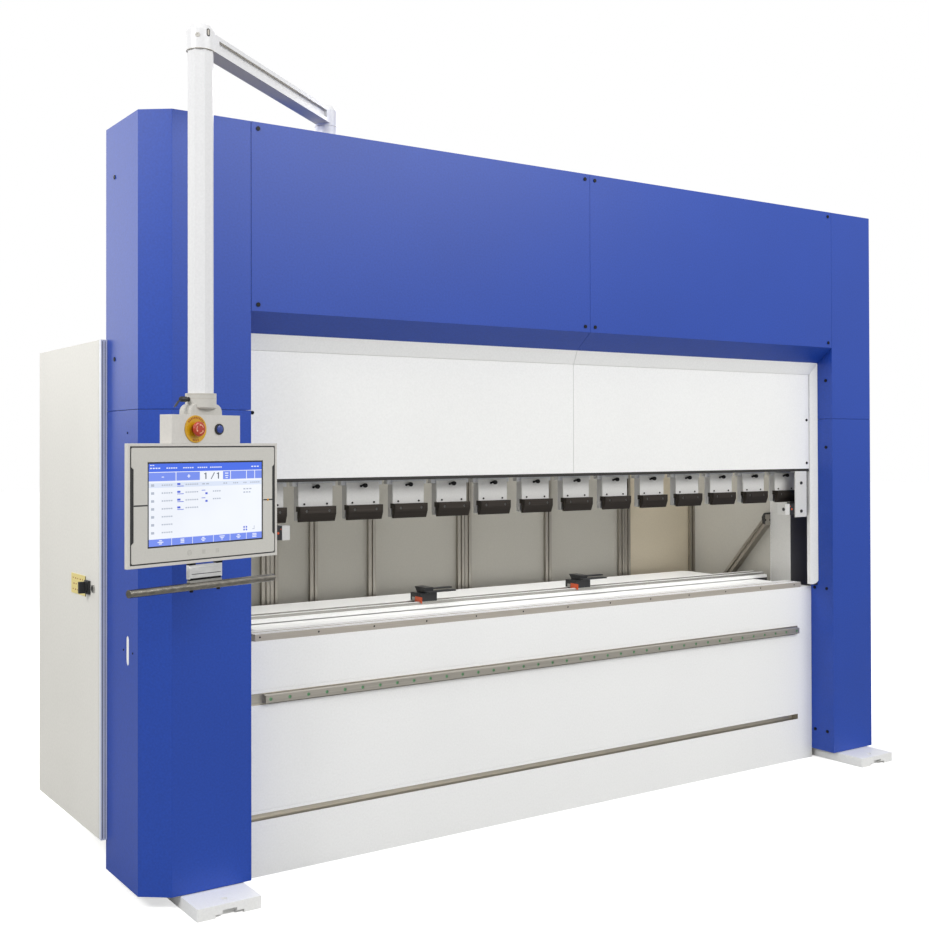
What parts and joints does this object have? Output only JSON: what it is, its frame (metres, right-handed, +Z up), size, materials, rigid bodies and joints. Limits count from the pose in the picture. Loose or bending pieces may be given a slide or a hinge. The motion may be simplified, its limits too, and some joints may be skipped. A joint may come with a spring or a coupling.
{
  "type": "servo-electric press brake",
  "caption": "Servo-electric press brake with driven ram, tool clamps, table, backgauge, rear guard, control cabinet and swivelling operator pendant.",
  "frame": {"origin": "on the floor, under the middle of the bending line", "axes": "+X along the bending line to the operator's right, +Y to the back of the machine, +Z up"},
  "size_m": [4.2638, 1.7353, 3],
  "materials": {
    "blue_paint": "fine-textured satin powder coat",
    "white_paint": "satin powder coat",
    "grey_paint": "light grey satin paint",
    "cabinet_paint": "light grey textured powder coat",
    "machined_steel": "ground and brushed",
    "black_oxide": "black oxide",
    "anodised_aluminium": "natural anodised",
    "dark_paint": "satin black paint",
    "black_plastic": "matte",
    "black_rubber": "matte",
    "yellow_plastic": "gloss",
    "red_plastic": "gloss",
    "blue_plastic": "gloss",
    "housing_coat": "satin silver-grey coat"
  },
  "bodies": {
    "frame": {"side_frames": "grey_paint", "feet": "white_paint", "lower_beam": "white_paint", "die_rail": "machined_steel", "front_rail": "machined_steel", "front_rail_bolts": "black_oxide", "upper_beam": "grey_paint", "roof_panel": "blue_paint", "fascia_left": "blue_paint", "fascia_right": "blue_paint", "opening_trim": "white_paint", "column_covers_lower": "blue_paint", "column_covers_upper": "blue_paint", "black_screws": "black_oxide", "guard_frame": "anodised_aluminium", "guard_panels": "grey_paint", "cabinet_body": "cabinet_paint", "cabinet_drives": "dark_paint", "servo_motors": "dark_paint", "drive_plates": "dark_paint", "drive_belts": "black_rubber", "ram_guides": "machined_steel", "gauge_stand": "grey_paint", "shelf": "white_paint", "arm_base": "white_paint"},
    "ram": {"ram_beam": "grey_paint", "ram_runners": "dark_paint", "ram_covers": "white_paint", "ram_strip": "black_rubber", "clamp_bodies": "machined_steel", "clamp_plates": "white_paint", "clamp_blocks": "black_oxide", "clamp_bolts": "black_oxide", "light_guard_brackets": "white_paint", "light_guards": "black_plastic"},
    "left_screw": {"screw_left": "machined_steel"},
    "right_screw": {"screw_right": "machined_steel"},
    "left_motor_shaft": {"motor_pulley_left": "machined_steel"},
    "right_motor_shaft": {"motor_pulley_right": "machined_steel"},
    "gauge_trucks": {"gauge_trucks": "dark_paint"},
    "gauge_beam": {"gauge_beam": "anodised_aluminium"},
    "left_finger": {"finger_left": "black_oxide"},
    "right_finger": {"finger_right": "black_oxide"},
    "left_guard_door": {"guard_door_left": "anodised_aluminium", "guard_door_left_sheet": "grey_paint"},
    "right_guard_door": {"guard_door_right": "anodised_aluminium", "guard_door_right_sheet": "grey_paint"},
    "cabinet_door": {"cabinet_door": "cabinet_paint", "switch_plate": "yellow_plastic"},
    "main_switch": {"switch_handle": "black_plastic"},
    "cabinet_lock": {"door_lock": "machined_steel"},
    "arm": {"pendant_arm": "white_paint"},
    "pendant": {"pendant_pole": "white_paint", "button_box": "housing_coat", "estop_disc": "yellow_plastic", "screen_housing": "housing_coat", "screen_handle": "machined_steel"},
    "arm_clamp_lever": {"pole_lever": "black_plastic"},
    "emergency_stop": {"estop_button": "red_plastic"},
    "start_button": {"start_button": "blue_plastic"}
  },
  "joints": [
    {"name": "ram_slide", "type": "slide", "parent": "frame", "child": "ram", "axis": [0, 0, -1], "range_m": [0, 0.25]},
    {"name": "left_screw_spin", "type": "hinge", "parent": "frame", "child": "left_screw", "pos_m": [-1.765, 0, 2], "axis": [0, 0, 1], "range_deg": [-10, 4510]},
    {"name": "right_screw_spin", "type": "hinge", "parent": "frame", "child": "right_screw", "pos_m": [1.765, 0, 2], "axis": [0, 0, 1], "range_deg": [-10, 4510]},
    {"name": "left_motor_spin", "type": "hinge", "parent": "frame", "child": "left_motor_shaft", "pos_m": [-1.765, -0.125, 2.5], "axis": [0, 0, 1], "range_deg": [-30, 12630]},
    {"name": "right_motor_spin", "type": "hinge", "parent": "frame", "child": "right_motor_shaft", "pos_m": [1.765, -0.125, 2.5], "axis": [0, 0, 1], "range_deg": [-30, 12630]},
    {"name": "gauge_depth", "type": "slide", "parent": "frame", "child": "gauge_trucks", "axis": [0, 1, 0], "range_m": [-0.075, 0.36]},
    {"name": "gauge_lift", "type": "slide", "parent": "gauge_trucks", "child": "gauge_beam", "axis": [0, 0, 1], "range_m": [0, 0.1]},
    {"name": "left_finger_slide", "type": "slide", "parent": "gauge_beam", "child": "left_finger", "axis": [1, 0, 0], "range_m": [-0.85, 0.7]},
    {"name": "right_finger_slide", "type": "slide", "parent": "gauge_beam", "child": "right_finger", "axis": [1, 0, 0], "range_m": [-0.7, 1.1]},
    {"name": "left_guard_door_hinge", "type": "hinge", "parent": "frame", "child": "left_guard_door", "pos_m": [-1.07517, 0.839, 1], "axis": [0, 0, 1], "range_deg": [0, 95]},
    {"name": "right_guard_door_hinge", "type": "hinge", "parent": "frame", "child": "right_guard_door", "pos_m": [1.07517, 0.839, 1], "axis": [0, 0, -1], "range_deg": [0, 95]},
    {"name": "cabinet_door_hinge", "type": "hinge", "parent": "frame", "child": "cabinet_door", "pos_m": [-2.026, 1.046, 1.095], "axis": [0, 0, -1], "range_deg": [0, 110]},
    {"name": "main_switch_turn", "type": "hinge", "parent": "cabinet_door", "child": "main_switch", "pos_m": [-2.038, 0.36, 1.091], "axis": [1, 0, 0], "range_deg": [0, 90]},
    {"name": "cabinet_lock_turn", "type": "hinge", "parent": "cabinet_door", "child": "cabinet_lock", "pos_m": [-2.038, 0.297, 1.091], "axis": [1, 0, 0], "range_deg": [0, 90]},
    {"name": "arm_swivel", "type": "hinge", "parent": "frame", "child": "arm", "pos_m": [-1.165, 0.07, 2.918], "axis": [0, 0, 1], "range_deg": [-5, 70]},
    {"name": "pendant_swivel", "type": "hinge", "parent": "arm", "child": "pendant", "pos_m": [-1.95731, -0.55798, 2.918], "axis": [0, 0, 1], "range_deg": [-60, 90]},
    {"name": "clamp_lever_turn", "type": "hinge", "parent": "pendant", "child": "arm_clamp_lever", "pos_m": [-2.01438, -0.57652, 1.782], "axis": [0.9511, 0.309, 0], "range_deg": [-60, 60]},
    {"name": "emergency_stop_push", "type": "slide", "parent": "pendant", "child": "emergency_stop", "axis": [-0.309, 0.9511, 0], "range_m": [0, 0.006], "stiffness_N_per_m": 2500},
    {"name": "start_button_push", "type": "slide", "parent": "pendant", "child": "start_button", "axis": [-0.309, 0.9511, 0], "range_m": [0, 0.003], "stiffness_N_per_m": 1500}
  ],
  "couplings": [
    {"joint": "left_screw_spin", "follows": "ram_slide", "rad_per_m": 314.16},
    {"joint": "right_screw_spin", "follows": "ram_slide", "rad_per_m": 314.16},
    {"joint": "left_motor_spin", "follows": "ram_slide", "rad_per_m": 879.65},
    {"joint": "right_motor_spin", "follows": "ram_slide", "rad_per_m": 879.65}
  ]
}
